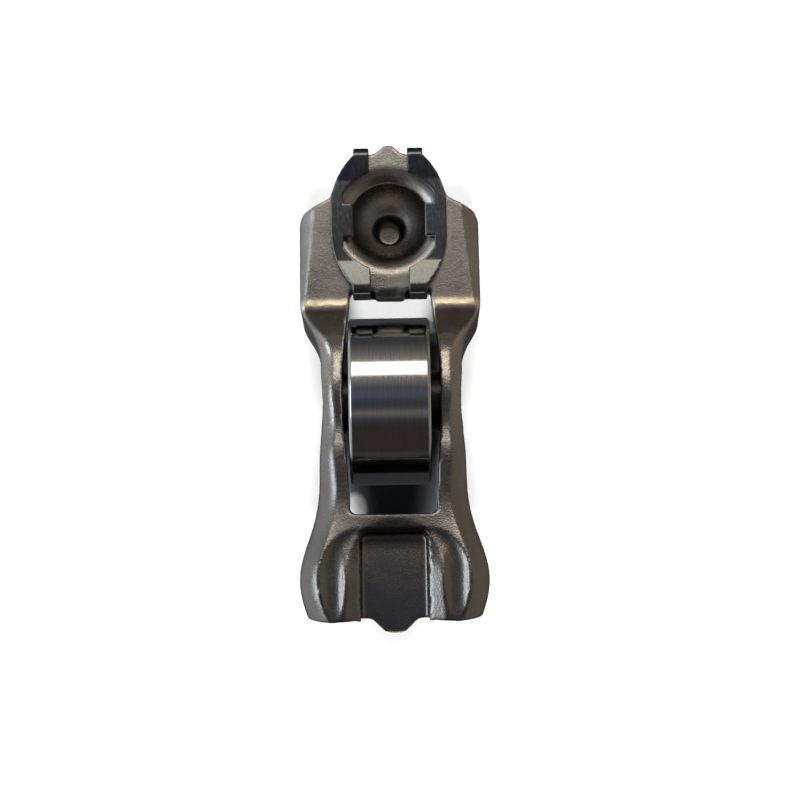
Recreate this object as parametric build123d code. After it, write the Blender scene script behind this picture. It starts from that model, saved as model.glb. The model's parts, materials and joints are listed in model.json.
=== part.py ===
from build123d import *
import math
import os

# A roller finger follower (rocker arm) pressed from thick steel sheet, lying with its underside up, as it
# comes to rest on a table. All sizes are in millimetres. The arm's own frame has its origin at the middle
# of the roller axle, +X across the arm, +Y towards the pivot socket and +Z out of the underside, which
# faces the pivot post and the valve stem. The last step tips the whole part into its resting place.

# Sheet and bearing
sheet = 2.5
roller_diameter = 17.0
roller_width = 8.2
roller_edge = 0.4
roller_play = 0.2
axle_diameter = 6.2
axle_recess = 0.25
axle_chamfer = 0.3
axle_dimple_diameter = 2.4
axle_dimple_depth = 0.4
needle_diameter = 1.4
needle_count = 16
needle_length = 7.6
needle_clearance = 0.02
bore_chamfer = 0.3

# Levels of the underside, measured from the axle
shoulder_level = 5.6
valley_level = 3.75
axle_level = 4.35
bridge_level = 4.65
crest_level = 5.9
pad_level = 2.5

# Levels of the wall edges on the cam side
socket_foot = -5.2
axle_foot = -6.3
bridge_foot = -3.2
valve_foot = -0.7

# Places along the arm
socket_place = 17.6
tongue_reach = 6.95
window_reach = 7.1
bend_place = 9.0
valley_place = 4.8
window_bottom = -12.1
pad_top = -13.8
pad_end = -23.0
guide_end = -22.9

# Half widths
socket_half_width = 9.1
waist_half_width = 7.15
valve_half_width = 9.5
pad_half_width = 3.4
guide_thickness = 2.1
guide_draft = 8.0
corner_end = 17.8
corner_cut = 18.65
corner_inset = 0.4
shoulder_end = 20.15
shoulder_half_width = 5.9

# The nibs that held the blank in its strip: at the socket's tongue, in the window and at the valve end
nib_half_width = 1.55
nib_taper = 0.15
tongue_nib_reach = 0.95
tongue_nib_drop = 0.35
window_nib_reach = 0.8
valve_nib_reach = 1.45
valve_nib_foot = 1.13
valve_nib_bow = 0.2

# The roller window: half widths beside the roller and at its two ends, and its corners
window_half_width = 4.85
window_bottom_half_width = 4.35
window_top_half_width = 4.1
window_corner = 0.7

# The window's side: places along the arm, with the share of the way from its end's half width to its widest
WINDOW_BOTTOM_SIDE = [(-8.0, 0.3), (-3.0, 1.0)]
WINDOW_TOP_SIDE = [(3.5, 1.0), (6.6, 0.6), (9.4, 0.07)]

# The rounded sides, as wide in plan as given here, start from the flat underside at a crease
crease_slope = 22.0
socket_rounding = 1.65
neck_rounding = 0.6
waist_rounding = 1.25
valve_rounding = 2.0
inner_bend = 0.5
end_rake = 10.5
end_corner = 0.5
end_bow = 0.2

# Pivot socket
ball_diameter = 8.0
ball_clearance = 0.05
ball_depth = 0.6
rim_depth = 0.8
lead_radius = 5.7
dome_wall = 2.4
pocket_radius = 1.6
pocket_depth = 1.9
pocket_floor_radius = 0.85
pocket_taper = 0.15
pocket_rounding = 0.5
pocket_wall = 1.9
boss_wall = 0.6
boss_angle = 30.0

# Retaining clip
clip_sheet = 0.55
clip_clearance = 0.05
clip_half_width = 5.84
clip_tip_corner = 6.7
clip_side_top = 2.0
clip_side_bottom = -1.5
clip_heel_corner = -6.8
clip_tip_bow = 0.47
clip_heel_bow = 0.52
clip_opening_radius = 5.35
clip_slot_half_width = 1.95
clip_notch_half_width = 4.6
clip_bend_place = 4.2
clip_lift = 0.4
clip_bend = 0.35
clip_lip = 0.7
clip_tip_half_width = 3.5
clip_heel_half_width = 3.75
tab_root = 0.5
tab_half_width = 1.7
tab_reach = 3.55
tab_depth = 0.25

# Valleys beside the valve guides
groove_radius = 1.8
groove_depth = 0.45
groove_half_width = 6.15
groove_corner = 5.0
arch_place = -12.9
arch_depth = -0.15
pad_corner = 0.4
slot_corner = 0.8

# Beyond every face that a cut has to pass
beyond = 4.0

# Values that follow from the ones above
roller_radius = roller_diameter / 2
axle_radius = axle_diameter / 2
needle_radius = needle_diameter / 2
needle_circle = axle_radius + needle_clearance + needle_radius
roller_bore = needle_circle + needle_radius + needle_clearance
cup_radius = ball_diameter / 2 + ball_clearance
cup_level = shoulder_level - ball_depth
tongue_end = socket_place + tongue_reach
window_top = socket_place - window_reach
arch_level = bridge_level + 0.16 * (crest_level - bridge_level)


def between(first, second, share):
    """A value part of the way from one to another."""
    return first + share * (second - first)


def section(y, half_width, top, rounding, foot, slope=crease_slope):
    """One closed section across the arm: flat top, two rounded sides and two straight walls."""
    slope = math.radians(slope)
    bend = rounding / (1 - math.sin(slope))
    centre_x = half_width - bend
    centre_z = top - bend * math.cos(slope)
    middle = math.radians(90) / 2 - slope / 2
    arc_middle = (centre_x + bend * math.cos(middle), centre_z + bend * math.sin(middle))
    flat = half_width - rounding
    edges = [
        Line((-half_width, y, foot), (-half_width, y, centre_z)),
        ThreePointArc((-half_width, y, centre_z), (-arc_middle[0], y, arc_middle[1]), (-flat, y, top)),
        Line((-flat, y, top), (flat, y, top)),
        ThreePointArc((flat, y, top), (arc_middle[0], y, arc_middle[1]), (half_width, y, centre_z)),
        Line((half_width, y, centre_z), (half_width, y, foot)),
        Line((half_width, y, foot), (-half_width, y, foot)),
    ]
    return make_face(Wire(edges))


def neck(share):
    """Half width between the waist and the socket end."""
    return between(waist_half_width, socket_half_width, share)


def flare(share):
    """Half width between the waist and the valve end."""
    return between(waist_half_width, valve_half_width, share)


def level_up(share):
    """Level of the underside between the bridge and the valve end's crest."""
    return between(bridge_level, crest_level, share)


def foot_up(share):
    """Level of the wall's edge between the bridge and the valve end."""
    return between(bridge_foot, valve_foot, share)


def foot_down(share):
    """Level of the wall's edge between the socket end and the axle."""
    return between(socket_foot, axle_foot, share)


def rounding_up(share):
    """Plan width of the rounded side between the waist and the valve end."""
    return between(waist_rounding, valve_rounding, share)


# Stations along the arm: place, half width, underside's level, plan width of the rounded side, wall foot
SOCKET_STATIONS = [
    (tongue_end + beyond, socket_half_width, shoulder_level, socket_rounding, socket_foot),
    (corner_end, socket_half_width, shoulder_level, socket_rounding, socket_foot),
    (bend_place, socket_half_width, shoulder_level, neck_rounding, foot_down(0.6)),
]
VALVE_STATIONS = [
    SOCKET_STATIONS[-1],
    (7.0, neck(0.51), between(valley_level, shoulder_level, 0.38), neck_rounding, foot_down(0.8)),
    (valley_place, neck(0.08), valley_level, waist_rounding, foot_down(0.9)),
    (2.2, waist_half_width, between(valley_level, axle_level, 0.75), waist_rounding, axle_foot),
    (0.0, waist_half_width, axle_level, waist_rounding, axle_foot),
    (-5.0, flare(0.07), between(axle_level, bridge_level, 0.33), rounding_up(0.3),
     between(axle_foot, bridge_foot, 0.2)),
    (-10.6, flare(0.19), bridge_level, rounding_up(0.9), bridge_foot),
    (-13.4, flare(0.47), level_up(0.28), valve_rounding, foot_up(0.5)),
    (-16.2, flare(0.85), level_up(0.72), valve_rounding, foot_up(0.8)),
    (-19.5, flare(0.97), level_up(0.96), valve_rounding, valve_foot),
    (guide_end - beyond, valve_half_width, crest_level, valve_rounding, valve_foot),
]


def hollow_section(y, half_width, top, rounding, foot):
    """The section of the channel's inside at a station."""
    return section(y, half_width - sheet, top - sheet, inner_bend, axle_foot - beyond, slope=0)


def channel_blank():
    """The bent sheet before its window, socket and pad: a channel open towards the cam side."""
    body = loft([section(*station) for station in SOCKET_STATIONS], ruled=True)
    body += loft([section(*station) for station in VALVE_STATIONS])
    body -= loft([hollow_section(*station) for station in SOCKET_STATIONS], ruled=True)
    return body - loft([hollow_section(*station) for station in VALVE_STATIONS])


def mirrored_outline(half):
    """A closed face from the points and curves of its right half, given from the -Y end to the +Y end."""
    edges = list(half)
    edges += [edge.mirror(Plane.YZ) for edge in half]
    return make_face(Wire(edges))


def bowed_arc(start, end, bow):
    """An arc that stands off the straight way between two points, to its left, by the given bow."""
    run = Vector(*end) - Vector(*start)
    middle = (Vector(*start) + Vector(*end)) * 0.5 + Vector(-run.Y, run.X).normalized() * bow
    return ThreePointArc(start, middle, end)


def plan_outline():
    """The sheared outline of the arm seen from below, open past the valve end: shoulders and tongue."""
    wide = valve_half_width + beyond
    valve_side = guide_end - beyond
    cut_half_width = socket_half_width - corner_inset
    brow_half_width = between(shoulder_half_width, clip_slot_half_width, 0.38)
    brow = (brow_half_width, between(shoulder_end, tongue_end, 0.62))
    half = [
        Line((0, valve_side), (wide, valve_side)),
        Line((wide, valve_side), (wide, corner_end)),
        Line((wide, corner_end), (socket_half_width, corner_end)),
        Line((socket_half_width, corner_end), (cut_half_width, corner_cut)),
        Line((cut_half_width, corner_cut), (shoulder_half_width, shoulder_end)),
        Spline((shoulder_half_width, shoulder_end), brow, (clip_slot_half_width, tongue_end),
               tangents=[(-0.2, 1), (-1, 0)]),
        Spline((clip_slot_half_width, tongue_end),
               (nib_half_width / 2, tongue_end + tongue_nib_reach - tongue_nib_drop),
               (0, tongue_end + tongue_nib_reach), tangents=[(-1, 0), (-1, 0)]),
    ]
    return mirrored_outline(half)


def valve_end_cut():
    """What is sheared off past the valve end, with a little outward lean of the end face."""
    wide = valve_half_width + beyond
    past = guide_end - 2 * beyond
    nib_end = pad_end - valve_nib_reach
    nib_foot = (valve_nib_foot, nib_end + valve_nib_bow)
    nib_side = (nib_half_width, pad_end - 0.55 * valve_nib_reach)
    nib_root = (between(nib_half_width, pad_half_width, 0.65), pad_end)
    corner_start = (valve_half_width - 2 * end_corner, guide_end)
    corner_middle = (valve_half_width - end_corner / 4, guide_end + end_corner)
    corner_stop = (valve_half_width + end_corner, guide_end + 3 * end_corner)
    half = [
        Spline((0, nib_end), nib_foot, tangents=[(1, 0), (1, 0.4)]),
        Spline(nib_foot, nib_side, nib_root, tangents=[(0.4, 1), (1, 0)]),
        Line(nib_root, (pad_half_width, pad_end)),
        Line((pad_half_width, pad_end), (pad_half_width + end_corner, guide_end)),
        bowed_arc((pad_half_width + end_corner, guide_end), corner_start, -end_bow),
        Spline(corner_start, corner_middle, corner_stop, tangents=[(1, 0), (1, 1)]),
        Line(corner_stop, (wide, corner_stop[1])),
        Line((wide, corner_stop[1]), (wide, past)),
        Line((wide, past), (0, past)),
    ]
    depth = crest_level - axle_foot + beyond
    lean = math.radians(end_rake)
    cut = extrude(mirrored_outline(half), amount=depth, dir=(0, math.sin(lean), -math.cos(lean)))
    cap = extrude(mirrored_outline(half), amount=beyond, dir=(0, 0, 1))
    return Pos(0, 0, crest_level) * (cut + cap)


def window_outline():
    """The roller window: widest beside the roller, with a carrier nib left on its socket side."""
    side = window_bottom_half_width
    corner = window_corner
    nib_end = window_top - window_nib_reach
    nib_side = nib_half_width - nib_taper
    top_side = window_top_half_width
    points = [(side, window_bottom + corner)]
    points += [(between(side, window_half_width, share), y) for y, share in WINDOW_BOTTOM_SIDE]
    points += [(between(top_side, window_half_width, share), y) for y, share in WINDOW_TOP_SIDE]
    points.append((top_side, window_top))
    half = [
        Line((0, window_bottom), (side - corner, window_bottom)),
        RadiusArc((side - corner, window_bottom), (side, window_bottom + corner), -corner),
        Spline(*points, tangents=[(0, 1), (0, 1)]),
        Line((top_side, window_top), (nib_half_width, window_top)),
        Line((nib_half_width, window_top), (nib_side, nib_end)),
        Line((nib_side, nib_end), (0, nib_end)),
    ]
    return mirrored_outline(half)


def upright(face, low, high):
    """A face in the XY plane raised to a solid between two levels."""
    return extrude(Pos(0, 0, low) * face, amount=high - low, dir=(0, 0, 1))


def turned(points, place):
    """A solid turned about an upright axis at a place along the arm, from its edges in the XZ plane."""
    profile = make_face(Wire(points))
    return Pos(0, place, 0) * revolve(profile, Axis.Z)


def cup_cavity():
    """The hollow of the pivot socket: rounded lead-in, ball seat and blind oil pocket."""
    rim_level = shoulder_level - rim_depth
    rim_radius = math.sqrt(cup_radius**2 - (rim_level - cup_level) ** 2)
    lead_angle = 2 * math.atan(rim_depth / (lead_radius - rim_radius))
    lead_arc = (lead_radius - rim_radius) / math.sin(lead_angle)
    half_angle = lead_angle / 2
    lead_middle_x = lead_radius - lead_arc * math.sin(half_angle)
    lead_middle_z = shoulder_level - lead_arc * (1 - math.cos(half_angle))
    seat_end = cup_level - math.sqrt(cup_radius**2 - pocket_radius**2)
    seat_angle = (math.asin(rim_radius / cup_radius) + math.asin(pocket_radius / cup_radius)) / 2
    seat_middle = (cup_radius * math.sin(seat_angle), 0, cup_level - cup_radius * math.cos(seat_angle))
    pocket_floor = seat_end - pocket_depth
    wall_radius = pocket_radius - pocket_taper
    wall_end = pocket_floor + pocket_rounding
    corner_radius = between(pocket_floor_radius, wall_radius, 0.6)
    corner_level = between(pocket_floor, wall_end, 0.2)
    top = shoulder_level + beyond
    edges = [
        Line((0, 0, top), (lead_radius, 0, top)),
        Line((lead_radius, 0, top), (lead_radius, 0, shoulder_level)),
        ThreePointArc((lead_radius, 0, shoulder_level), (lead_middle_x, 0, lead_middle_z),
                      (rim_radius, 0, rim_level)),
        ThreePointArc((rim_radius, 0, rim_level), seat_middle, (pocket_radius, 0, seat_end)),
        Line((pocket_radius, 0, seat_end), (wall_radius, 0, wall_end)),
        ThreePointArc((wall_radius, 0, wall_end), (corner_radius, 0, corner_level),
                      (pocket_floor_radius, 0, pocket_floor)),
        Line((pocket_floor_radius, 0, pocket_floor), (0, 0, pocket_floor)),
        Line((0, 0, pocket_floor), (0, 0, top)),
    ]
    return turned(edges, socket_place)


def dome():
    """The back of the drawn socket, with the small boss behind its oil pocket."""
    radius = cup_radius + dome_wall
    seat_end = cup_level - math.sqrt(cup_radius**2 - pocket_radius**2)
    back = seat_end - pocket_depth - pocket_wall
    slope = math.radians(boss_angle)
    boss_edge = (radius * math.sin(slope), 0, cup_level - radius * math.cos(slope))
    boss_radius = pocket_radius + boss_wall
    half_slope = math.radians(45 + boss_angle / 2)
    middle = (radius * math.sin(half_slope), 0, cup_level - radius * math.cos(half_slope))
    upper = shoulder_level - sheet / 2
    edges = [
        Line((0, 0, upper), (radius, 0, upper)),
        Line((radius, 0, upper), (radius, 0, cup_level)),
        ThreePointArc((radius, 0, cup_level), middle, boss_edge),
        Line(boss_edge, (boss_radius, 0, back)),
        Line((boss_radius, 0, back), (0, 0, back)),
        Line((0, 0, back), (0, 0, upper)),
    ]
    return turned(edges, socket_place)


def pad_block():
    """The thick floor and guide walls of the valve end, with a little draft, before their slot."""
    near = window_bottom
    far = guide_end - beyond
    low = pad_level - sheet
    high = bridge_level - sheet / 2
    half_width = pad_half_width + guide_thickness
    foot = half_width - (high - low) * math.tan(math.radians(guide_draft))
    corners = [(-foot, near, low), (foot, near, low), (half_width, near, high), (-half_width, near, high)]
    end_face = make_face(Wire(Polyline(*corners, close=True).edges()))
    return extrude(end_face, amount=near - far, dir=(0, -1, 0))


def stem_slot():
    """The recess for the valve stem's tip: a flat contact pad between two guides, open at the arm's end."""
    length = pad_top - guide_end + 2 * beyond
    height = crest_level - pad_level + beyond
    slot = Pos(0, pad_top - length / 2, pad_level + height / 2) * Box(2 * pad_half_width, length, height)
    slot = fillet(slot.edges().filter_by(Axis.Z).sort_by(Axis.Y)[-2:], slot_corner)
    floor = slot.faces().sort_by(Axis.Z)[0]
    return fillet(floor.edges().sort_by(Axis.Y)[1:], pad_corner)


def guide_grooves():
    """The valley pressed round the pad: deep beside the guides, shallow where it arches over the pad."""
    arch_height = arch_level + groove_radius - arch_depth
    end_height = crest_level + groove_radius - groove_depth
    length = arch_place - guide_end + beyond
    slope = math.degrees(math.atan((end_height - arch_height) / (arch_place - guide_end)))
    side = groove_half_width
    route = FilletPolyline((-side, -length), (-side, 0), (side, 0), (side, -length), radius=groove_corner)
    route = Pos(0, arch_place, arch_height) * Rot(-slope, 0, 0) * route
    start = Plane(origin=route @ 0, z_dir=route % 0)
    return sweep(start * Circle(groove_radius), path=route)


def arm():
    """The one-piece stamping."""
    body = channel_blank() + dome() + pad_block()
    body &= upright(plan_outline(), axle_foot - beyond, crest_level + beyond)
    body -= valve_end_cut()
    body -= upright(window_outline(), axle_foot - beyond, crest_level + beyond)
    body -= cup_cavity()
    body -= guide_grooves()
    body -= stem_slot()
    body -= Rot(0, 90, 0) * Cylinder(axle_radius, 2 * (waist_half_width + beyond))
    return body


def axle():
    """The fixed axle, pressed into both walls and staked at its ends."""
    length = 2 * (waist_half_width - axle_recess)
    pin = Cylinder(axle_radius, length)
    pin = chamfer(pin.edges().filter_by(GeomType.CIRCLE), axle_chamfer)
    for side in (-1, 1):
        pin -= Pos(0, 0, side * length / 2) * Cylinder(axle_dimple_diameter / 2, 2 * axle_dimple_depth)
    return Rot(0, 90, 0) * pin


def roller():
    """The hardened outer ring that the cam runs on, slid along the needles by its play."""
    ring = Cylinder(roller_radius, roller_width) - Cylinder(roller_bore, roller_width)
    ring = chamfer(ring.edges().filter_by(GeomType.CIRCLE).sort_by(SortBy.RADIUS)[:2], bore_chamfer)
    ring = fillet(ring.edges().filter_by(GeomType.CIRCLE).sort_by(SortBy.RADIUS)[-2:], roller_edge)
    return Pos(-roller_play, 0, 0) * Rot(0, 90, 0) * ring


def needle(index):
    """One needle of the full row between axle and roller."""
    rod = Cylinder(needle_radius, needle_length)
    rod = fillet(rod.edges().filter_by(GeomType.CIRCLE), needle_radius / 3)
    return Rot(360 * index / needle_count, 0, 0) * Pos(0, 0, needle_circle) * Rot(0, 90, 0) * rod


def clip_strip():
    """The clip's side view: a bowed top, two legs round the tongue's ends and two bars behind it."""
    under = shoulder_level - sheet - clip_clearance
    halves = []
    for direction, reach in ((1, tongue_reach), (-1, window_reach)):
        leg = reach + clip_clearance
        corners = [
            (0, shoulder_level),
            (clip_bend_place, shoulder_level),
            (leg, shoulder_level + clip_lift),
            (leg, under),
            (reach - clip_lip, under),
            (reach - clip_lip, under - clip_sheet),
            (leg + clip_sheet, under - clip_sheet),
            (leg + clip_sheet, shoulder_level + clip_lift + clip_sheet),
            (clip_bend_place, shoulder_level + clip_sheet),
            (0, shoulder_level + clip_sheet),
        ]
        points = [(0, direction * y + socket_place, z) for y, z in corners]
        side = make_face(Wire(Polyline(*points, close=True).edges()))
        half = extrude(side, amount=clip_half_width, dir=(1, 0, 0), both=True)
        across = half.edges().filter_by(Axis.X)
        outer_bends = [across.sort_by_distance(points[corner])[0] for corner in (6, 7)]
        half = fillet(outer_bends, clip_bend + clip_sheet)
        inner_bend_edge = half.edges().filter_by(Axis.X).sort_by_distance(points[2])[0]
        halves.append(fillet(inner_bend_edge, clip_bend))
    return halves[0] + halves[1]


def clip_outline():
    """The clip's blank seen from below: two bows with open slots between their hooks."""
    tip = (clip_tip_half_width, tongue_reach + beyond)
    tip_corner = (clip_tip_half_width, clip_tip_corner)
    side_top = (clip_half_width, clip_side_top)
    side_bottom = (clip_half_width, clip_side_bottom)
    heel_corner = (clip_heel_half_width, clip_heel_corner)
    heel = (clip_heel_half_width, -window_reach - beyond)
    half = [
        Line((0, tip[1]), tip),
        Line(tip, tip_corner),
        bowed_arc(tip_corner, side_top, clip_tip_bow),
        Line(side_top, side_bottom),
        bowed_arc(side_bottom, heel_corner, clip_heel_bow),
        Line(heel_corner, heel),
        Line(heel, (0, heel[1])),
    ]
    outline = mirrored_outline(half)
    opening = Circle(clip_opening_radius) & Rectangle(2 * clip_notch_half_width, 4 * clip_opening_radius)
    slot = Rectangle(2 * clip_slot_half_width, 2 * (window_reach + 2 * beyond))
    return Pos(0, socket_place, 0) * (outline - opening - slot)


def clip_tab(side):
    """One spring tab, bent down into the socket's mouth beside the ball."""
    root = clip_notch_half_width + tab_root
    corners = [
        (root, shoulder_level),
        (root, shoulder_level + clip_sheet),
        (tab_reach, shoulder_level + clip_sheet),
        (tab_reach, shoulder_level - tab_depth),
        (tab_reach + clip_sheet, shoulder_level - tab_depth),
        (tab_reach + clip_sheet, shoulder_level),
    ]
    points = [(side * x, 0, z) for x, z in corners]
    face = make_face(Wire(Polyline(*points, close=True).edges()))
    tab = extrude(face, amount=tab_half_width, dir=(0, 1, 0), both=True)
    bend = tab.edges().filter_by(Axis.Y).sort_by_distance(points[2])[0]
    return Pos(0, socket_place, 0) * fillet(bend, clip_bend)


def clip():
    """The one-piece spring clip that holds the pivot ball in its socket."""
    under = shoulder_level - sheet - clip_clearance
    strip = clip_strip()
    bows = strip & upright(clip_outline(), under, crest_level + beyond)
    bar_space = Box(2 * clip_tip_half_width, 2 * (window_reach + beyond), clip_sheet)
    bars = strip & Pos(0, socket_place, under - clip_sheet / 2) * bar_space
    return bows + bars + clip_tab(-1) + clip_tab(1)


def resting_place():
    """Tips the part about the roller until the wall ends touch the table, about the ball's centre."""
    slope = (shoulder_end - corner_cut) / (socket_half_width - corner_inset - shoulder_half_width)
    foot_place = shoulder_end - (socket_half_width - sheet - shoulder_half_width) * slope
    reach = math.hypot(foot_place, socket_foot)
    tilt = math.degrees(math.asin(roller_radius / reach) - math.atan2(-socket_foot, foot_place))
    return Rot(-tilt, 0, 0) * Pos(0, -socket_place, -cup_level)


pieces = {"arm": arm(), "axle": axle(), "roller": roller(), "clip": clip()}
for index in range(needle_count):
    pieces[f"needle_{index + 1:02d}"] = needle(index)

os.makedirs("parts", exist_ok=True)
resting = resting_place()
for name, piece in pieces.items():
    export_step(resting * piece, f"parts/{name}.step")
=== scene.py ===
import json
import math

import bmesh
import bpy
from mathutils import Matrix, Vector, noise


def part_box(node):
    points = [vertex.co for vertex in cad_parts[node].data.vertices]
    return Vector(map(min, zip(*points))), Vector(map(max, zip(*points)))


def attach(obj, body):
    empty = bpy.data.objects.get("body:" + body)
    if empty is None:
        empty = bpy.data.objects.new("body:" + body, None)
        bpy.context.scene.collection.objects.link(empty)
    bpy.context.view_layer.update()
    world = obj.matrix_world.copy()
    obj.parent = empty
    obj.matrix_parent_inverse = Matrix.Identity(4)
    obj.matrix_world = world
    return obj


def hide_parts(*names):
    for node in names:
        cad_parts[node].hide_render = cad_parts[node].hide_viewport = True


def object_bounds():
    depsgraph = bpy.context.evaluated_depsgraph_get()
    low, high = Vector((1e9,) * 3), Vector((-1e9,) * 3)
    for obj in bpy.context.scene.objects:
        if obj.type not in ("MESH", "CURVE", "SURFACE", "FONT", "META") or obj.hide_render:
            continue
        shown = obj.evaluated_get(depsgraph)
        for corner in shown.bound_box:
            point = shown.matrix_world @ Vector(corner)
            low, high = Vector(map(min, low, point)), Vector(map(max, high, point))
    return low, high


# A roller finger follower (rocker arm) of thick pressed sheet, lying with its underside up on a pale table.
# Sizes are in metres. MM turns the millimetres that this script thinks in into them.

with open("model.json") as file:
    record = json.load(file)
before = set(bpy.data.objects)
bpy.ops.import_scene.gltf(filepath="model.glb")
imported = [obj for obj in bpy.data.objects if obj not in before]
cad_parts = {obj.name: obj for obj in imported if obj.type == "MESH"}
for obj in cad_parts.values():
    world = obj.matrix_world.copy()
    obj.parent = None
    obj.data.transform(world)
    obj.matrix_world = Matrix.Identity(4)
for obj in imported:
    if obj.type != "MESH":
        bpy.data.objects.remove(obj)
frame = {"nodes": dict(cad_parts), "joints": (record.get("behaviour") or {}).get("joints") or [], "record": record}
cad_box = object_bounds()

MM = 0.001
mounts = {mount["name"]: mount for mount in frame["record"]["mounts"]}
axle_place = Vector(frame["joints"][0]["pos_m"])
arm_up = Vector(mounts["valve_pad"]["axis"])
tilt = math.atan2(arm_up.y, arm_up.z)
arm_frame = Matrix.Translation(axle_place) @ Matrix.Rotation(-tilt, 4, "X")
floor_level = cad_box[0][2]

# Places on the arm in millimetres in its own frame: from the axle, +Y to the socket, +Z out of the underside

bend_y = 8.85
tongue_edge_y = 10.45
# where the clip's painted sheen starts
clip_sheen_y = 13.2
pocket_place = (0.0, 17.6, -0.6)
rails_place = (0.0, -4.0, 4.6)
bridge_place = (0.0, -14.0, 4.6)
rust_place = (2.75, -16.2, 2.4)
guides_start_y = -12.0
slot_round_y = -18.5
pad_middle_y = -19.0
pad_start_y = -13.9
pad_half_width = 3.45


# Shader building blocks

def new_material(name):
    """A material with an empty Principled shader, and its node tree."""
    material = bpy.data.materials.new(name)
    material.use_nodes = True
    return material, material.node_tree, material.node_tree.nodes["Principled BSDF"]


def join(tree, source, target):
    """Links an output to an input."""
    tree.links.new(source, target)


def place_socket(tree, stretch=(1.0, 1.0, 1.0)):
    """The piece's own coordinates in metres, stretched."""
    coordinates = tree.nodes.new("ShaderNodeTexCoord")
    mapping = tree.nodes.new("ShaderNodeMapping")
    mapping.inputs["Scale"].default_value = stretch
    join(tree, coordinates.outputs["Object"], mapping.inputs["Vector"])
    return mapping.outputs["Vector"]


def arm_place_socket(tree):
    """Coordinates in millimetres in the arm's own frame."""
    turn = Matrix.Rotation(tilt, 3, "X")
    coordinates = tree.nodes.new("ShaderNodeTexCoord")
    mapping = tree.nodes.new("ShaderNodeMapping")
    mapping.inputs["Location"].default_value = -(turn @ axle_place) / MM
    mapping.inputs["Rotation"].default_value = (tilt, 0.0, 0.0)
    mapping.inputs["Scale"].default_value = (1 / MM, 1 / MM, 1 / MM)
    join(tree, coordinates.outputs["Object"], mapping.inputs["Vector"])
    return mapping.outputs["Vector"]


def parts_of(tree, vector):
    """The X, Y and Z of a vector."""
    parts = tree.nodes.new("ShaderNodeSeparateXYZ")
    join(tree, vector, parts.inputs["Vector"])
    return parts.outputs["X"], parts.outputs["Y"], parts.outputs["Z"]


def vector_socket(tree, operation, first, second=None):
    """A vector sum whose second part, where there is one, is a fixed vector."""
    node = tree.nodes.new("ShaderNodeVectorMath")
    node.operation = operation
    join(tree, first, node.inputs[0])
    if second is not None:
        node.inputs[1].default_value = second
    return node.outputs["Value" if operation == "LENGTH" else "Vector"]


def spot_socket(tree, place, centre, reach, soft=0.5):
    """A soft spot: 1 in the middle of an ellipsoid about a place and 0 outside it."""
    moved = vector_socket(tree, "SUBTRACT", place, centre)
    shrunk = vector_socket(tree, "DIVIDE", moved, reach)
    return range_socket(tree, vector_socket(tree, "LENGTH", shrunk), 1.0, 1.0 - soft)


def noise_socket(tree, size, detail=3.0, rough=0.55, vector=None):
    """Noise from 0 to 1 whose lumps are about the given size in metres."""
    node = tree.nodes.new("ShaderNodeTexNoise")
    node.inputs["Scale"].default_value = 1.0 / size
    node.inputs["Detail"].default_value = detail
    node.inputs["Roughness"].default_value = rough
    join(tree, vector or place_socket(tree), node.inputs["Vector"])
    return node.outputs["Fac"]


def range_socket(tree, source, low, high, to_low=0.0, to_high=1.0):
    """A value moved from one range to another, and held at its ends."""
    node = tree.nodes.new("ShaderNodeMapRange")
    for name, value in (("From Min", low), ("From Max", high), ("To Min", to_low), ("To Max", to_high)):
        node.inputs[name].default_value = value
    join(tree, source, node.inputs["Value"])
    return node.outputs["Result"]


def math_socket(tree, operation, first, second=None):
    """A sum of one or two values, which may be numbers or sockets."""
    node = tree.nodes.new("ShaderNodeMath")
    node.operation = operation
    for index, value in enumerate((first, second)):
        if isinstance(value, (int, float)):
            node.inputs[index].default_value = value
        elif value is not None:
            join(tree, value, node.inputs[index])
    return node.outputs["Value"]


def product_socket(tree, first, *others):
    """The product of some values: as a mask, where all of them hold."""
    for other in others:
        first = math_socket(tree, "MULTIPLY", first, other)
    return first


def mix_socket(tree, share, first, second, blend="MIX"):
    """A colour between two colours, which may be sockets."""
    node = tree.nodes.new("ShaderNodeMix")
    node.data_type = "RGBA"
    node.blend_type = blend
    colour_inputs = [socket for socket in node.inputs if socket.type == "RGBA"]
    if isinstance(share, float):
        node.inputs["Factor"].default_value = share
    else:
        join(tree, share, node.inputs["Factor"])
    for socket, value in zip(colour_inputs, (first, second)):
        if isinstance(value, tuple):
            socket.default_value = (*value, 1.0)
        else:
            join(tree, value, socket)
    return [socket for socket in node.outputs if socket.type == "RGBA"][0]


def layered(tree, colour, layers):
    """A colour under layers, each a share and a colour that covers those before it."""
    for share, cover in layers:
        colour = mix_socket(tree, share, colour, cover)
    return colour


def bump_socket(tree, height, distance, strength=1.0, below=None):
    """A bump of a depth in metres, on top of another bump if one is given."""
    node = tree.nodes.new("ShaderNodeBump")
    node.inputs["Strength"].default_value = strength
    node.inputs["Distance"].default_value = distance
    join(tree, height, node.inputs["Height"])
    if below is not None:
        join(tree, below, node.inputs["Normal"])
    return node.outputs["Normal"]


# Materials

def channel_shade_mask(tree, place):
    """Painted shade on the channel's inner walls beside the roller, where little light reaches."""
    x, y, z = parts_of(tree, place)
    deep = range_socket(tree, z, 3.6, 2.6)
    before_socket = range_socket(tree, y, 12.0, 10.0)
    past_pad = range_socket(tree, y, -13.4, -12.6)
    shade_between_walls = range_socket(tree, math_socket(tree, "ABSOLUTE", x), 5.6, 5.0)
    return product_socket(tree, deep, before_socket, past_pad, shade_between_walls)


def neck_highlight_mask(tree, place):
    """The slopes between the rails and the shoulders, where a highlight is painted."""
    _, y, z = parts_of(tree, place)
    from_rails = range_socket(tree, y, 4.0, 6.0)
    to_bend = range_socket(tree, y, bend_y, bend_y - 1.0, 0.0, 0.6)
    return product_socket(tree, from_rails, to_bend, range_socket(tree, z, 3.2, 3.9))


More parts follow.
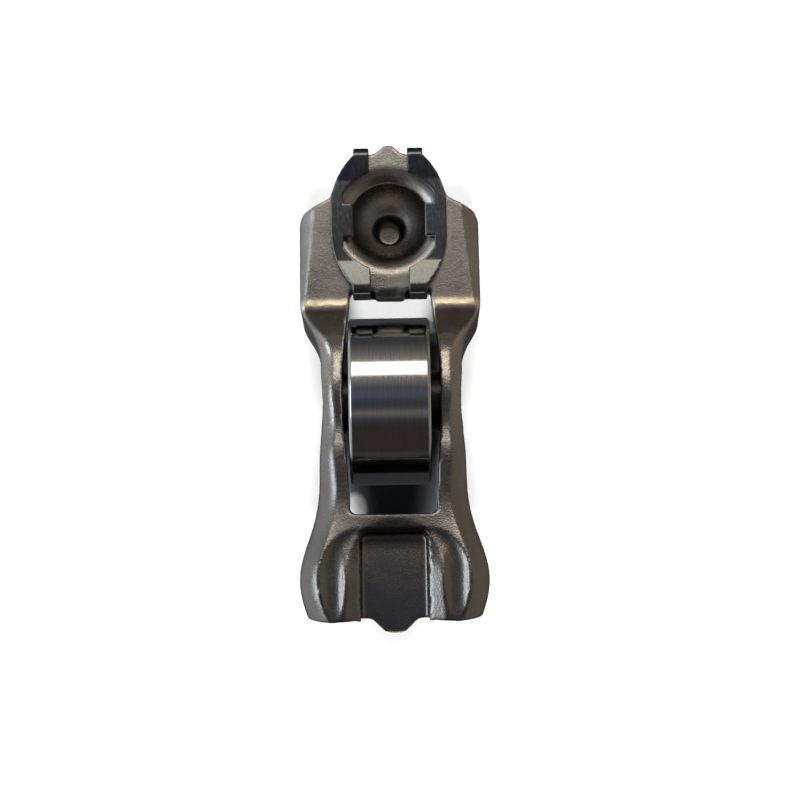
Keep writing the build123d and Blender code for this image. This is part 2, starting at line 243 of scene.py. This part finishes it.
def lip_mask(tree, place):
    """The lip along the shoulders' bend."""
    _, y, z = parts_of(tree, place)
    rise = range_socket(tree, y, bend_y - 0.55, bend_y - 0.05)
    fall = range_socket(tree, y, bend_y + 0.85, bend_y + 0.35)
    return product_socket(tree, rise, fall, range_socket(tree, z, 4.6, 5.0, 0.0, 0.8))


def pressed_steel():
    """The arm: tumbled, oiled sheet steel with a sparkling grain, darker towards the valve end, with painted shade
    in the channel, the pocket, on the bridge and on the rails, and painted highlights on the neck and the bend's
    lip.
    """
    material, tree, shader = new_material("pressed_steel")
    place = arm_place_socket(tree)
    y = parts_of(tree, place)[1]
    patches = noise_socket(tree, 3.5 * MM, 4.0, 0.6)
    grain = noise_socket(tree, 0.17 * MM, 2.0, 0.6)
    specks = noise_socket(tree, 0.09 * MM, 1.0, 0.5)
    grain_pits = range_socket(tree, grain, 0.3, 0.75, 0.0, 0.55)
    bright_specks = range_socket(tree, specks, 0.62, 0.8, 0.0, 0.6)
    valve_end = range_socket(tree, y, 4.0, -10.0, 0.1, 0.68)
    pocket = spot_socket(tree, place, pocket_place, (2.3, 2.3, 3.0), 0.3)
    bridge = spot_socket(tree, place, bridge_place, (6.5, 2.6, 3.0), 0.5)
    rails = product_socket(tree, spot_socket(tree, place, rails_place, (6.6, 11.0, 3.0), 0.3), 0.45)
    lip = lip_mask(tree, place)
    rust = product_socket(tree, spot_socket(tree, place, rust_place, (0.45, 2.2, 1.0), 0.8),
                          range_socket(tree, grain, 0.3, 0.6, 0.2, 0.8))
    brown_steel = (0.35, 0.312, 0.262)
    grey_steel = (0.45, 0.425, 0.39)
    steel = mix_socket(tree, range_socket(tree, patches, 0.35, 0.65), brown_steel, grey_steel)
    layers = (
        (grain_pits, (0.20, 0.175, 0.15)),
        (bright_specks, (0.85, 0.80, 0.72)),
        # darker towards the valve end
        (valve_end, (0.17, 0.155, 0.145)),
        # painted shade: the channel's inner walls beside the roller darkened
        (channel_shade_mask(tree, place), (0.08, 0.07, 0.06)),
        # painted shade in the socket's pocket
        (pocket, (0.15, 0.135, 0.115)),
        # painted shade on the bridge over the pad, which hides its highlight
        (bridge, (0.055, 0.051, 0.048)),
        # painted shade on the rails beside the roller
        (rails, (0.10, 0.093, 0.088)),
        # painted highlight on the neck slopes
        (neck_highlight_mask(tree, place), (0.80, 0.72, 0.60)),
        # painted highlight along the lip at the shoulders' bend
        (lip, (0.90, 0.76, 0.55)),
        (rust, (0.30, 0.16, 0.05)),
    )
    join(tree, layered(tree, steel, layers), shader.inputs["Base Color"])
    shader.inputs["Metallic"].default_value = 1.0
    gloss = range_socket(tree, patches, 0.3, 0.7, 0.25, 0.32)
    duller_pits = range_socket(tree, grain, 0.2, 0.8, -0.04, 0.08)
    smoother_end = range_socket(tree, y, 6.0, -1.0, 0.0, -0.07)
    rough_lip = product_socket(tree, lip, 0.15)
    for change in (duller_pits, rough_lip, smoother_end):
        gloss = math_socket(tree, "ADD", gloss, change)
    join(tree, gloss, shader.inputs["Roughness"])
    coarse = bump_socket(tree, noise_socket(tree, 0.9 * MM, 3.0, 0.6), 0.02 * MM, 0.5)
    join(tree, bump_socket(tree, grain, 0.02 * MM, 1.0, coarse), shader.inputs["Normal"])
    return material


def spring_steel():
    """The clip: blue-black tempered strip with brushed streaks along its length and a painted sheen towards its
    window end.
    """
    material, tree, shader = new_material("spring_steel")
    along = place_socket(tree, stretch=(1.0, 0.06, 1.0))
    streaks = noise_socket(tree, 0.09 * MM, 3.0, 0.6, along)
    cloud = noise_socket(tree, 2.5 * MM, 3.0, 0.55)
    y = parts_of(tree, arm_place_socket(tree))[1]
    deep_blue = (0.070, 0.088, 0.102)
    light_blue = (0.105, 0.122, 0.135)
    blue = mix_socket(tree, range_socket(tree, cloud, 0.35, 0.65), deep_blue, light_blue)
    layers = (
        # painted sheen: the clip lighter towards the window end
        (range_socket(tree, y, clip_sheen_y + 1.2, clip_sheen_y, 0.0, 0.75), (0.21, 0.205, 0.18)),
        (range_socket(tree, streaks, 0.45, 0.8, 0.0, 0.5), (0.36, 0.345, 0.30)),
    )
    join(tree, layered(tree, blue, layers), shader.inputs["Base Color"])
    shader.inputs["Metallic"].default_value = 1.0
    join(tree, range_socket(tree, streaks, 0.2, 0.8, 0.18, 0.28), shader.inputs["Roughness"])
    join(tree, bump_socket(tree, streaks, 0.004 * MM, 0.7), shader.inputs["Normal"])
    return material


def ground_steel():
    """The roller: hardened ring, ground and honed round its running face."""
    material, tree, shader = new_material("ground_steel")
    across = place_socket(tree, stretch=(1.0, 0.02, 0.02))
    rings = noise_socket(tree, 0.05 * MM, 4.0, 0.65, across)
    flecks = noise_socket(tree, 0.14 * MM, 2.0, 0.6)
    steel = mix_socket(tree, range_socket(tree, rings, 0.3, 0.7), (0.46, 0.455, 0.45), (0.60, 0.595, 0.59))
    steel = mix_socket(tree, range_socket(tree, flecks, 0.55, 0.75, 0.0, 0.35), steel, (0.36, 0.33, 0.29))
    join(tree, steel, shader.inputs["Base Color"])
    shader.inputs["Metallic"].default_value = 1.0
    join(tree, range_socket(tree, rings, 0.25, 0.75, 0.08, 0.14), shader.inputs["Roughness"])
    fine = bump_socket(tree, rings, 0.0012 * MM, 0.6)
    join(tree, bump_socket(tree, flecks, 0.002 * MM, 0.5, fine), shader.inputs["Normal"])
    return material


def axle_steel():
    """The staked axle: turned steel, with painted shade between the walls."""
    material, tree, shader = new_material("axle_steel")
    cloud = noise_socket(tree, 0.8 * MM, 3.0, 0.6)
    steel = mix_socket(tree, range_socket(tree, cloud, 0.3, 0.7), (0.20, 0.19, 0.175), (0.32, 0.31, 0.29))
    x = parts_of(tree, arm_place_socket(tree))[0]
    shade_between_walls = range_socket(tree, math_socket(tree, "ABSOLUTE", x), 5.6, 4.9)
    # painted shade on the axle between the walls
    steel = mix_socket(tree, shade_between_walls, steel, (0.035, 0.032, 0.03))
    join(tree, steel, shader.inputs["Base Color"])
    shader.inputs["Metallic"].default_value = 1.0
    join(tree, range_socket(tree, cloud, 0.3, 0.7, 0.26, 0.38), shader.inputs["Roughness"])
    join(tree, bump_socket(tree, noise_socket(tree, 0.12 * MM), 0.004 * MM, 0.6), shader.inputs["Normal"])
    return material


def needle_steel():
    """The needles: polished hardened steel under a film of oil."""
    material, tree, shader = new_material("needle_steel")
    cloud = noise_socket(tree, 0.5 * MM, 2.0, 0.5)
    steel = mix_socket(tree, range_socket(tree, cloud, 0.3, 0.7), (0.50, 0.49, 0.47), (0.62, 0.61, 0.59))
    join(tree, steel, shader.inputs["Base Color"])
    shader.inputs["Metallic"].default_value = 1.0
    join(tree, range_socket(tree, cloud, 0.3, 0.7, 0.12, 0.2), shader.inputs["Roughness"])
    return material


MAKERS = (pressed_steel, spring_steel, ground_steel, axle_steel, needle_steel)
MATERIALS = {make.__name__: make() for make in MAKERS}


def finish_piece(piece, slot, body):
    """Gives a piece its material, its slot in the record and the body that it moves with."""
    piece.data.materials.clear()
    piece.data.materials.append(MATERIALS[slot])
    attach(piece, body)


# Pieces

def even_mesh(node, name, voxel, rounds):
    """A node's shape as an even mesh, squared to the arm, with edges rounded as tumbling leaves them."""
    source = frame["nodes"][node]
    work = bmesh.new()
    work.from_mesh(source.data)
    same_place = 1e-7
    bmesh.ops.remove_doubles(work, verts=work.verts, dist=same_place)
    to_grid = Matrix.Scale(1 / MM, 4) @ arm_frame.inverted()
    bmesh.ops.transform(work, matrix=to_grid, verts=work.verts)
    mesh = bpy.data.meshes.new(name)
    work.to_mesh(mesh)
    work.free()
    piece = bpy.data.objects.new(name, mesh)
    bpy.context.collection.objects.link(piece)
    remesh = piece.modifiers.new("even", "REMESH")
    remesh.mode = "VOXEL"
    remesh.voxel_size = voxel / MM
    soften = piece.modifiers.new("soften", "SMOOTH")
    soften.factor = 0.5
    soften.iterations = rounds
    depsgraph = bpy.context.evaluated_depsgraph_get()
    shaped = bpy.data.meshes.new_from_object(piece.evaluated_get(depsgraph))
    piece.modifiers.clear()
    piece.data = shaped
    shaped.transform(to_grid.inverted())
    shaped.polygons.foreach_set("use_smooth", [True] * len(shaped.polygons))
    return piece


def smooth_step(value, start, end):
    """From 0 to 1 as a value goes from start to end."""
    share = min(max((value - start) / (end - start), 0.0), 1.0)
    return share * share * (3 - 2 * share)


def lip_rise(x, y):
    """The lip that bending raised along the shoulders, uneven as sheet bends."""
    lip_height = 0.13
    lip_width = 0.46
    long_swell = 0.5 * noise.noise((1.1 * x, 4.0, 0.5))
    short_swell = 0.5 * noise.noise((3.1 * x, 3.1 * y, 5.2))
    return lip_height * (0.75 + long_swell + short_swell) * math.exp(-((y - bend_y) / lip_width) ** 2)


def torn_rise(x, y):
    """The tongue's edge, which the punch tore along a wavering line."""
    torn_slope = 1.3
    wide_waver = 0.28 * noise.noise((1.6 * x, 7.3, 1.9))
    fine_waver = 0.12 * noise.noise((5.0 * x, 2.2, 8.1))
    return -torn_slope * max(tongue_edge_y + wide_waver + fine_waver - y, 0.0)


def press_rise(x, y, z):
    """How far pressing moves the underside's face at a place on the arm, all in millimetres."""
    rise = 0.0
    if y > 7.0 and z > 4.0:
        rise += lip_rise(x, y)
    if abs(x) < 2.6 and 9.0 < y < 11.4 and z > 4.4:
        rise += torn_rise(x, y)
    if y < pad_start_y and abs(x) < pad_half_width and z < 3.2:
        pad_crown_radius = 45.0
        rise -= (y - pad_middle_y) ** 2 / (2 * pad_crown_radius)
    return rise


def guide_rise(x, y, z):
    """The step round the stem's slot and the guides' rounding, which take the slot's upper walls along."""
    if y > guides_start_y:
        return 0.0
    step_half_width = 6.0
    step_length = 5.95
    step_depth = 0.09
    inward = 1 - math.hypot(x / step_half_width, max(y - slot_round_y, 0.0) / step_length)
    step = step_depth * smooth_step(inward, 0.0, 0.2) * smooth_step(y, slot_round_y - 1.0, slot_round_y + 3.0)
    guide_slope = 0.42
    guide_crest_x = 5.0
    ridge = guide_slope * smooth_step(-y, 14.5, 18.5) * max(guide_crest_x - abs(x), 0.0)
    return -(step + ridge) * smooth_step(z, 2.9, 4.6)


def press_marks(mesh):
    """What pressing leaves: a lip at the shoulders, a torn tongue edge, a crowned pad and rounded guides."""
    to_arm = arm_frame.inverted()
    facing_up = 0.5
    places = [vertex.co.copy() for vertex in mesh.vertices]
    faces_up = [vertex.normal @ arm_up > facing_up for vertex in mesh.vertices]
    moved = []
    for place, up in zip(places, faces_up):
        x, y, z = (to_arm @ place) / MM
        rise = guide_rise(x, y, z)
        if up:
            rise += press_rise(x, y, z)
        moved.extend(place + arm_up * rise * MM)
    mesh.vertices.foreach_set("co", moved)
    mesh.update()


def arm_piece():
    """The pressed arm with its marks."""
    piece = even_mesh("arm", "arm_stamping", 0.2 * MM, 2)
    press_marks(piece.data)
    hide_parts("arm")
    finish_piece(piece, "pressed_steel", "arm_body")


def clip_piece():
    """The spring clip round the socket."""
    piece = even_mesh("clip", "clip_strip", 0.08 * MM, 2)
    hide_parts("clip")
    finish_piece(piece, "spring_steel", "arm_body")


def ring_profile(half_width, radius):
    """The roller's section as pairs of place along the axle and distance from it, its outer edges rounded."""
    bore = 4.54 * MM
    rounding = 0.4 * MM
    chamfer = 0.3 * MM
    steps = 8
    profile = [(-half_width, bore + chamfer)]
    for side in (-1, 1):
        corner = []
        for step in range(steps + 1):
            angle = math.pi / 2 * step / steps
            along = half_width - rounding + rounding * math.cos(angle)
            corner.append((side * along, radius - rounding + rounding * math.sin(angle)))
        profile += corner if side < 0 else corner[::-1]
    profile.append((half_width, bore + chamfer))
    return profile + [(side * (half_width - chamfer), bore) for side in (1, -1)]


def roller_piece():
    """The roller turned about its own axle, finer than the node that it stands for."""
    low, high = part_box("roller")
    middle = (high[0] + low[0]) / 2
    profile = ring_profile((high[0] - low[0]) / 2, (high[2] - low[2]) / 2)
    segments = 256
    mesh = bmesh.new()
    rings = []
    for index in range(segments):
        angle = 2 * math.pi * index / segments
        outward = Vector((0.0, math.cos(angle), math.sin(angle)))
        rings.append([
            mesh.verts.new(axle_place + Vector((middle + x, 0.0, 0.0)) + outward * reach)
            for x, reach in profile
        ])
    for index, ring in enumerate(rings):
        after = rings[(index + 1) % segments]
        for place in range(len(profile)):
            following = (place + 1) % len(profile)
            face = mesh.faces.new((ring[place], ring[following], after[following], after[place]))
            face.smooth = True
    bmesh.ops.recalc_face_normals(mesh, faces=mesh.faces)
    data = bpy.data.meshes.new("roller_ring")
    mesh.to_mesh(data)
    mesh.free()
    piece = bpy.data.objects.new("roller_ring", data)
    bpy.context.collection.objects.link(piece)
    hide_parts("roller")
    finish_piece(piece, "ground_steel", "roller_body")


def bearing_nodes():
    """The axle and needles keep their own shapes and get their finish."""
    for name, node in frame["nodes"].items():
        if name == "axle" or name.startswith("needle_"):
            node.data.materials.clear()
            node.data.materials.append(MATERIALS["axle_steel" if name == "axle" else "needle_steel"])
            for polygon in node.data.polygons:
                polygon.use_smooth = True


arm_piece()
clip_piece()
roller_piece()
bearing_nodes()


# Table, light and camera

def contact_shade(tree):
    """Painted shadow on the table right under the arm, hardly lit but for a spot in the window's corner."""
    place = vector_socket(tree, "SUBTRACT", place_socket(tree), axle_place)
    x, y, _ = parts_of(tree, place)
    across = range_socket(tree, math_socket(tree, "ABSOLUTE", x), 6.4 * MM, 4.4 * MM)
    far_end = range_socket(tree, y, 7.6 * MM, 7.0 * MM)
    near_end = range_socket(tree, y, -18.0 * MM, -13.0 * MM)
    corner_place = (-4.05 * MM, -11.3 * MM, floor_level - axle_place.z)
    corner_reach = (1.4 * MM, 2.0 * MM, MM)
    corner = spot_socket(tree, place, corner_place, corner_reach, 0.35)
    return product_socket(tree, across, far_end, near_end, math_socket(tree, "SUBTRACT", 1.0, corner))


def table():
    """A plain pale floor with a painted shadow right under the arm."""
    size = 3.0
    corners = ((-size, -size), (size, -size), (size, size), (-size, size))
    mesh = bmesh.new()
    mesh.faces.new([mesh.verts.new((x, y, floor_level)) for x, y in corners])
    data = bpy.data.meshes.new("table")
    mesh.to_mesh(data)
    mesh.free()
    floor = bpy.data.objects.new("table", data)
    bpy.context.collection.objects.link(floor)
    material, tree, shader = new_material("table")
    cloud = noise_socket(tree, 60 * MM, 2.0, 0.5)
    pale = mix_socket(tree, cloud, (0.80, 0.80, 0.80), (0.84, 0.84, 0.835))
    # painted shadow colour under the arm
    shaded = (0.11, 0.125, 0.145)
    join(tree, mix_socket(tree, contact_shade(tree), pale, shaded), shader.inputs["Base Color"])
    shader.inputs["Roughness"].default_value = 0.9
    shader.inputs["Specular IOR Level"].default_value = 0.1
    floor.data.materials.append(material)
    floor.visible_glossy = False


# The room's light in bands across it: degrees from straight up, negative towards the valve end, and colour

NEAR_WALL = [
    (-90, (0.050, 0.050, 0.050)),
    (-77, (0.070, 0.070, 0.065)),
    (-70, (0.055, 0.040, 0.035)),
    (-33, (0.055, 0.040, 0.035)),
]
STRIP_LAMP = [
    (-25, (0.065, 0.060, 0.070)),
    (-19, (0.160, 0.150, 0.145)),
    (-14.5, (0.240, 0.220, 0.205)),
    (-9, (0.090, 0.085, 0.090)),
]
CEILING = [
    (-3.5, (0.070, 0.070, 0.080)),
    (2, (0.080, 0.080, 0.095)),
    (8, (0.115, 0.130, 0.170)),
    (14, (0.120, 0.135, 0.180)),
    (18.5, (0.095, 0.100, 0.110)),
]
FAR_WALL = [
    (24, (0.180, 0.170, 0.160)),
    (31, (0.300, 0.260, 0.225)),
    (60, (0.380, 0.330, 0.260)),
    (72, (0.200, 0.185, 0.150)),
    (80, (0.135, 0.130, 0.115)),
    (90, (0.075, 0.075, 0.080)),
]


def band_colour(tree, turn):
    """The light's colour at a turn, which is 0 to 1 over the full circle with straight up at a half."""
    ramp = tree.nodes.new("ShaderNodeValToRGB")
    join(tree, turn, ramp.inputs["Fac"])
    elements = ramp.color_ramp.elements
    while len(elements) > 1:
        elements.remove(elements[-1])
    for index, (degrees, colour) in enumerate(NEAR_WALL + STRIP_LAMP + CEILING + FAR_WALL):
        position = 0.5 + degrees / 360
        element = elements[0] if index == 0 else elements.new(position)
        element.position = position
        element.color = (*colour, 1.0)
    return ramp.outputs["Color"]


def room():
    """A soft grey room, bluer on the left and browner on the right, that the metal mirrors."""
    world = bpy.data.worlds.new("room")
    bpy.context.scene.world = world
    world.use_nodes = True
    tree = world.node_tree
    coordinates = tree.nodes.new("ShaderNodeTexCoord")
    x, y, z = parts_of(tree, coordinates.outputs["Generated"])
    turn = range_socket(tree, math_socket(tree, "ARCTAN2", y, z), -math.pi, math.pi)
    side_tint = mix_socket(tree, range_socket(tree, x, -0.7, 0.7), (0.80, 1.0, 1.25), (0.94, 0.77, 0.63))
    light = mix_socket(tree, 1.0, band_colour(tree, turn), side_tint, "MULTIPLY")
    side_walls = (
        (range_socket(tree, x, -0.35, -0.85), (0.68, 0.73, 0.78)),
        (range_socket(tree, x, 0.35, 0.85), (0.33, 0.29, 0.245)),
    )
    light = layered(tree, light, side_walls)
    path = tree.nodes.new("ShaderNodeLightPath")
    behind_table = (0.86, 0.86, 0.86)
    seen = mix_socket(tree, path.outputs["Is Camera Ray"], light, behind_table)
    join(tree, seen, tree.nodes["Background"].inputs["Color"])
    world.cycles_visibility.diffuse = False


def softbox(name, x_angle, y_angle, distance, size, power, colour=(1.0, 1.0, 1.0)):
    """An area light towards the axle, placed by its angles from straight up."""
    data = bpy.data.lights.new(name, "AREA")
    data.shape = "RECTANGLE"
    data.size, data.size_y = size
    data.energy = power
    data.color = colour
    light = bpy.data.objects.new(name, data)
    bpy.context.collection.objects.link(light)
    away = Vector((math.tan(math.radians(x_angle)), math.tan(math.radians(y_angle)), 1.0)).normalized()
    light.location = axle_place + away * distance
    light.rotation_euler = away.to_track_quat("Z", "Y").to_euler()
    return light


def window_lights():
    """Two softboxes that the metal mirrors."""
    windows = (
        softbox("far_window", 0, 45.9, 0.2, (0.16, 0.067), 0.090, (1.0, 0.96, 0.88)),
        softbox("left_window", -57, 5, 0.3, (0.20, 0.12), 0.22, (0.72, 0.86, 1.0)),
    )
    for window in windows:
        window.visible_diffuse = False


def table_lights():
    """A ring of softboxes that lights the table and that the metal doesn't mirror."""
    ring_count = 6
    ring_lean = math.tan(math.radians(33))
    lamp_distance = 1.2
    lamp_size = (0.25, 0.25)
    lamp_power = 6.2
    for index in range(ring_count):
        turn = 2 * math.pi * (index + 0.5) / ring_count
        x_angle = math.degrees(math.atan(ring_lean * math.cos(turn)))
        y_angle = math.degrees(math.atan(ring_lean * math.sin(turn)))
        lamp = softbox(f"table_lamp_{index + 1}", x_angle, y_angle, lamp_distance, lamp_size, lamp_power)
        lamp.visible_glossy = False
        lamp.visible_camera = False


def gap_lamp():
    """A narrow beam on the table behind the roller, which shows pale through the window's socket end."""
    data = bpy.data.lights.new("gap_lamp", "SPOT")
    data.energy = 3.1
    data.spot_size = math.radians(1.9)
    data.spot_blend = 0.3
    data.shadow_soft_size = MM
    lamp = bpy.data.objects.new("gap_lamp", data)
    bpy.context.collection.objects.link(lamp)
    gap = arm_frame @ (Vector((0.0, 9.6, 4.5)) * MM)
    lamp_height = 275 * MM
    lamp.location = axle_place + Vector((0.0, 0.0, lamp_height))
    lamp.rotation_euler = (lamp.location - gap).to_track_quat("Z", "Y").to_euler()
    lamp.visible_glossy = False


def camera():
    """Straight above the part, turned as the photograph shows it."""
    data = bpy.data.cameras.new("view")
    height = 275 * MM
    width_seen = 81.6 * MM
    right_of_axle = 0.82 * MM
    beyond_axle = 0.15 * MM
    roll = math.radians(-0.98)
    data.sensor_width = 36.0
    data.lens = data.sensor_width * height / width_seen
    data.clip_start = 0.01
    eye = bpy.data.objects.new("view", data)
    bpy.context.collection.objects.link(eye)
    eye.location = axle_place + Vector((right_of_axle, beyond_axle, height))
    eye.rotation_euler = (0.0, 0.0, roll)
    bpy.context.scene.camera = eye


table()
room()
window_lights()
table_lights()
gap_lamp()
camera()
bpy.context.scene.view_settings.view_transform = "Standard"
